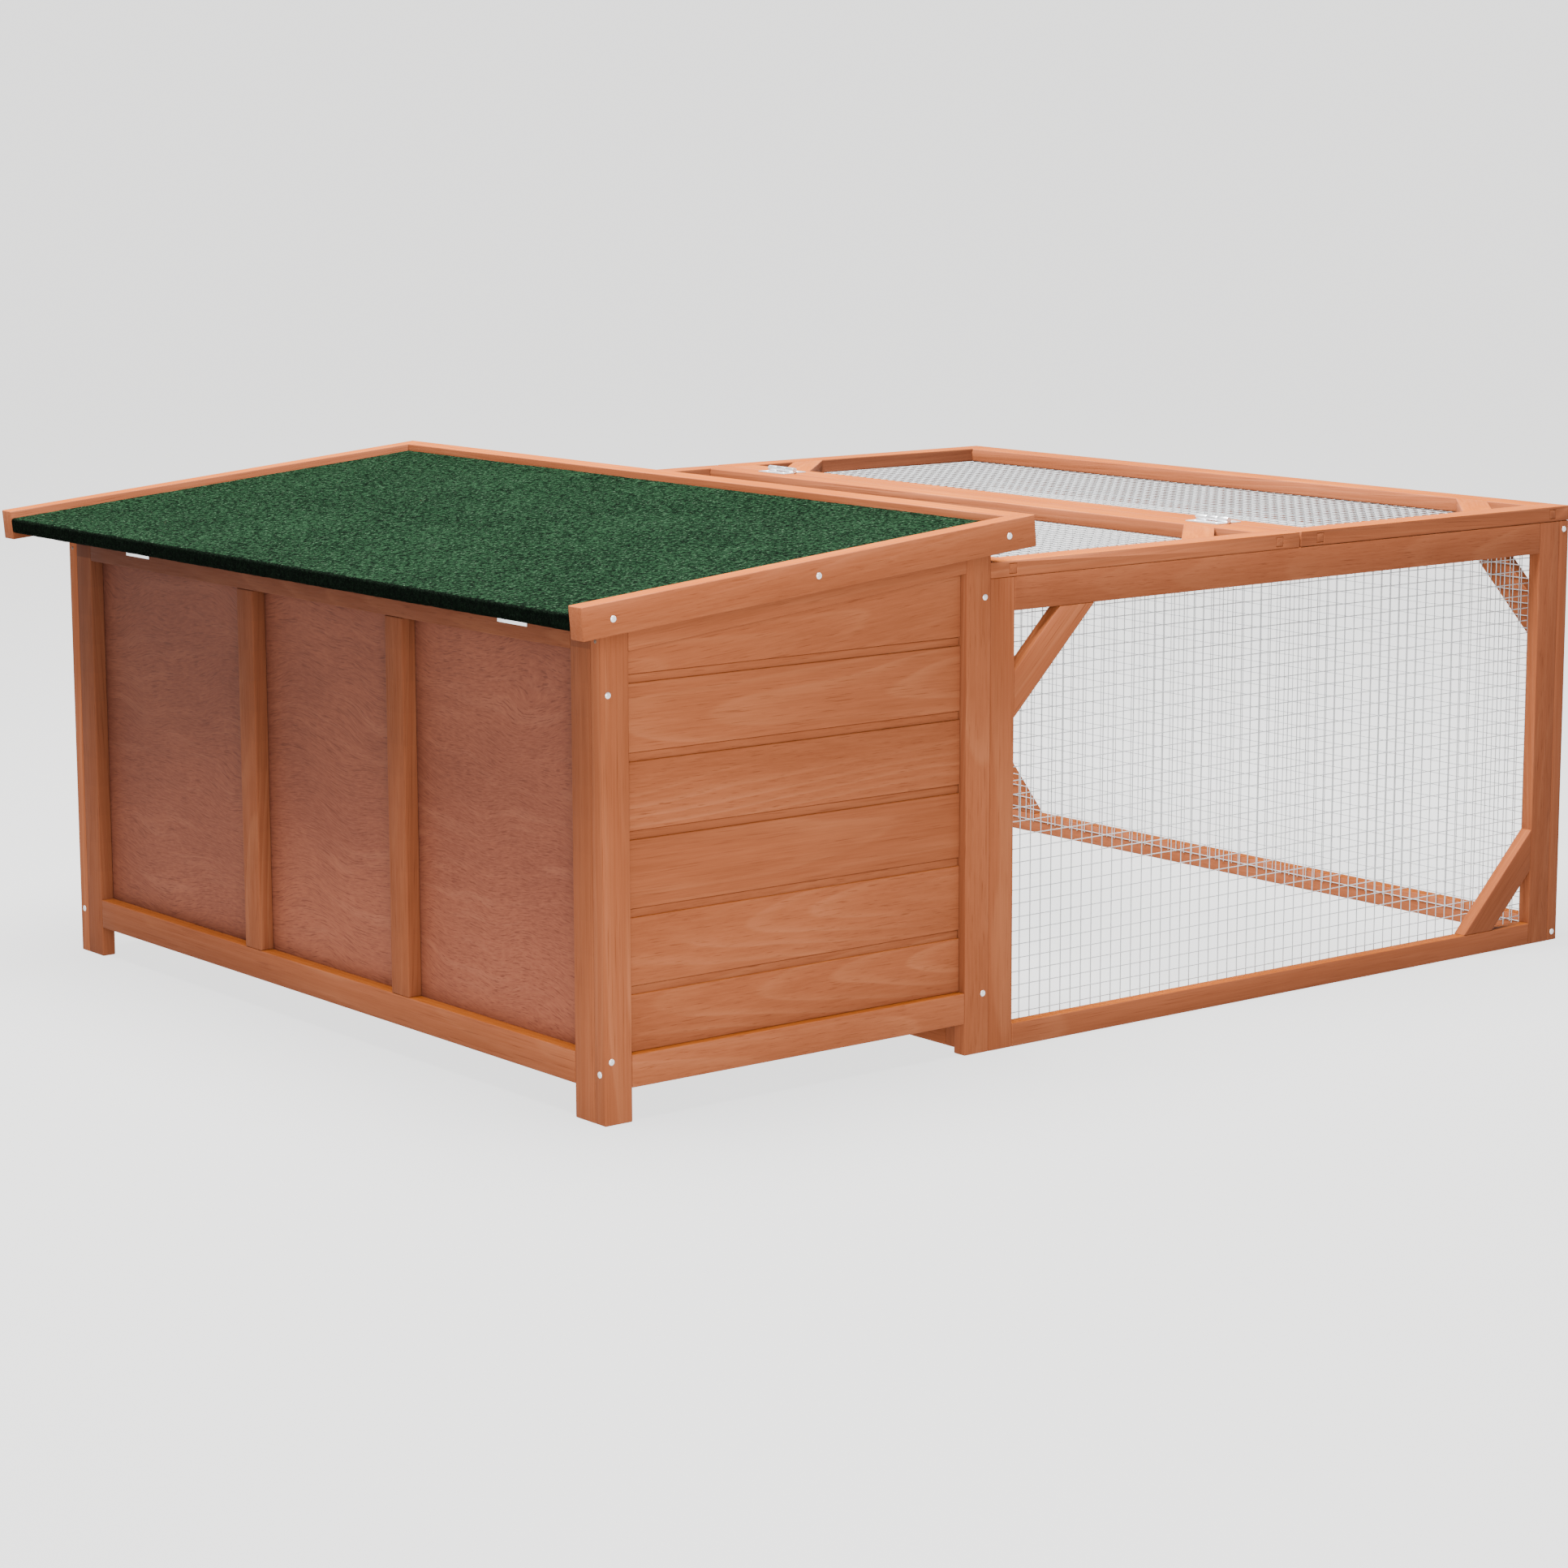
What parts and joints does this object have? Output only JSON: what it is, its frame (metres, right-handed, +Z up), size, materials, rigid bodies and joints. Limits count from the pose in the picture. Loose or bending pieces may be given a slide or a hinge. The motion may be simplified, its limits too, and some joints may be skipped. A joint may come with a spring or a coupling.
{
  "type": "rabbit hutch",
  "caption": "Low planked rabbit house with a sloping hinged felt roof, joined to a wooden wire mesh run with a hinged mesh lid.",
  "frame": {"origin": "on the ground, under the middle of the hutch's bounding box", "axes": "+X from the house to the run, along the hutch's length; -Y is the near side; +Z up"},
  "size_m": [1.264, 1.0024, 0.4922],
  "materials": {
    "fir": "orange-brown stained fir, satin, with darker grain",
    "plywood": "red-brown stained plywood, fine straight grain",
    "roofing_felt": "dark green mineral-granule roofing felt, matt and rough",
    "galvanised_mesh": "galvanised welded wire, dull bright",
    "galvanised_steel": "zinc plated, satin",
    "screw_steel": "zinc plated, bright"
  },
  "bodies": {
    "frame": {"near_wall_posts": "fir", "near_wall_top_rail": "fir", "near_wall_bottom_rail": "fir", "near_wall_planks": "fir", "far_wall_posts": "fir", "far_wall_top_rail": "fir", "far_wall_bottom_rail": "fir", "far_wall_planks": "fir", "end_wall_posts": "fir", "end_wall_mullions": "fir", "end_wall_top_rail": "fir", "end_wall_bottom_rail": "fir", "end_wall_panels": "plywood", "divider_stiles": "fir", "divider_mullions": "fir", "divider_rails": "fir", "doorway_header": "fir", "divider_panels": "plywood", "floor_panel": "plywood", "floor_bearers": "fir", "near_run_stiles": "fir", "near_run_rails": "fir", "near_run_braces": "fir", "near_run_mesh": "galvanised_mesh", "far_run_stiles": "fir", "far_run_rails": "fir", "far_run_braces": "fir", "far_run_mesh": "galvanised_mesh", "run_end_stiles": "fir", "run_end_rails": "fir", "run_end_braces": "fir", "run_end_mesh": "galvanised_mesh", "fixed_top_side_rails": "fir", "fixed_top_cross_rails": "fir", "fixed_top_braces": "fir", "fixed_top_mesh": "galvanised_mesh", "roof_hinge_wall_leaves": "galvanised_steel", "roof_hinge_pins": "galvanised_steel", "lid_hinge_fixed_leaves": "galvanised_steel", "lid_hinge_pins": "galvanised_steel", "lid_bolt_plate": "galvanised_steel", "frame_screws": "screw_steel"},
    "roof": {"roof_board": "plywood", "roof_felt": "roofing_felt", "near_barge_board": "fir", "far_barge_board": "fir", "roof_high_board": "fir", "roof_hinge_roof_leaves": "galvanised_steel", "roof_screws": "screw_steel"},
    "lid": {"lid_side_rails": "fir", "lid_cross_rails": "fir", "lid_braces": "fir", "lid_mesh": "galvanised_mesh", "lid_hinge_lid_leaves": "galvanised_steel", "lid_bolt_keeper": "galvanised_steel", "lid_screws": "screw_steel"},
    "bolt": {"lid_bolt": "galvanised_steel"}
  },
  "joints": [
    {"name": "roof_hinge", "type": "hinge", "parent": "frame", "child": "roof", "pos_m": [-0.58474, 0, 0.4304], "axis": [0, -1, 0], "range_deg": [0, 89]},
    {"name": "lid_hinge", "type": "hinge", "parent": "frame", "child": "lid", "pos_m": [0.23681, 0, 0.4501], "axis": [0, -1, 0], "range_deg": [0, 172]},
    {"name": "bolt_slide", "type": "slide", "parent": "frame", "child": "bolt", "axis": [0, 0, 1], "range_m": [0, 0.013]}
  ]
}
